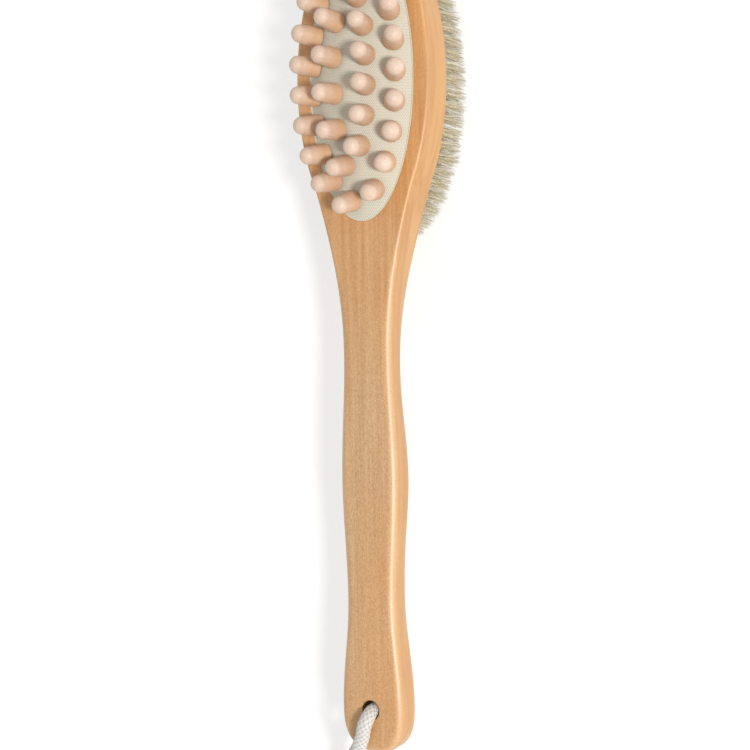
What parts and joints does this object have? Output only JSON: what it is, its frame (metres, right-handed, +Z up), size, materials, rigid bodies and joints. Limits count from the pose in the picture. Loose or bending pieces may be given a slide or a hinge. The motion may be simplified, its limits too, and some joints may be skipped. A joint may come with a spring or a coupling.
{
  "type": "body dry brush",
  "caption": "Long-handled wooden body brush: natural bristle tufts on one face, a cloth-faced air cushion with wooden massage pegs on the other, and a cord loop.",
  "frame": {"origin": "on the surface the brush stands on, below the middle of its length and width", "axes": "+Y along the brush from the handle to the head, +Z up from the bristles to the massage pegs"},
  "size_m": [0.085, 0.474, 0.0679],
  "materials": {
    "lacquered_wood": "light wood with a clear satin lacquer",
    "peg_wood": "turned, sanded smooth, unstained",
    "cream_rubber": "matt cream",
    "woven_cloth": "fine cream weave with a grey-green cross thread",
    "natural_bristle": "natural animal bristle, cream to grey-brown",
    "anchor_steel": "plain wire",
    "cotton_cord": "braided cotton, undyed"
  },
  "bodies": {
    "brush": {"wooden_body": "lacquered_wood", "rubber_cushion": "cream_rubber", "cushion_cloth": "woven_cloth", "bristles_row_1_bearing": "natural_bristle", "bristles_row_1": "natural_bristle", "bristles_row_2": "natural_bristle", "bristles_row_3": "natural_bristle", "bristles_row_4": "natural_bristle", "bristles_row_5": "natural_bristle", "bristles_centre_row": "natural_bristle", "tuft_anchors": "anchor_steel", "hang_cord_upper": "cotton_cord", "hang_cord_lower": "cotton_cord", "cord_knot": "cotton_cord"},
    "middle_pegs": {"pegs_middle": "peg_wood", "feet_middle": "peg_wood"},
    "inner_end_pegs": {"pegs_inner_ends": "peg_wood", "feet_inner_ends": "peg_wood"},
    "outer_side_pegs": {"pegs_outer_sides": "peg_wood", "feet_outer_sides": "peg_wood"},
    "outer_end_pegs": {"pegs_outer_ends": "peg_wood", "feet_outer_ends": "peg_wood"}
  },
  "joints": [
    {"name": "cushion_press", "type": "slide", "parent": "brush", "child": "middle_pegs", "axis": [0, 0, -1], "range_m": [0, 0.0035], "stiffness_N_per_m": 1500, "deforming": ["cushion_cloth", "rubber_cushion"]},
    {"name": "inner_end_press", "type": "slide", "parent": "brush", "child": "inner_end_pegs", "axis": [0, 0, -1], "range_m": [0, 0.0027], "stiffness_N_per_m": 900},
    {"name": "outer_side_press", "type": "slide", "parent": "brush", "child": "outer_side_pegs", "axis": [0, 0, -1], "range_m": [0, 0.0016], "stiffness_N_per_m": 1500},
    {"name": "outer_end_press", "type": "slide", "parent": "brush", "child": "outer_end_pegs", "axis": [0, 0, -1], "range_m": [0, 0.0013], "stiffness_N_per_m": 1500}
  ],
  "couplings": [
    {"joint": "inner_end_press", "follows": "cushion_press", "ratio": 0.77},
    {"joint": "outer_side_press", "follows": "cushion_press", "ratio": 0.45},
    {"joint": "outer_end_press", "follows": "cushion_press", "ratio": 0.36}
  ]
}
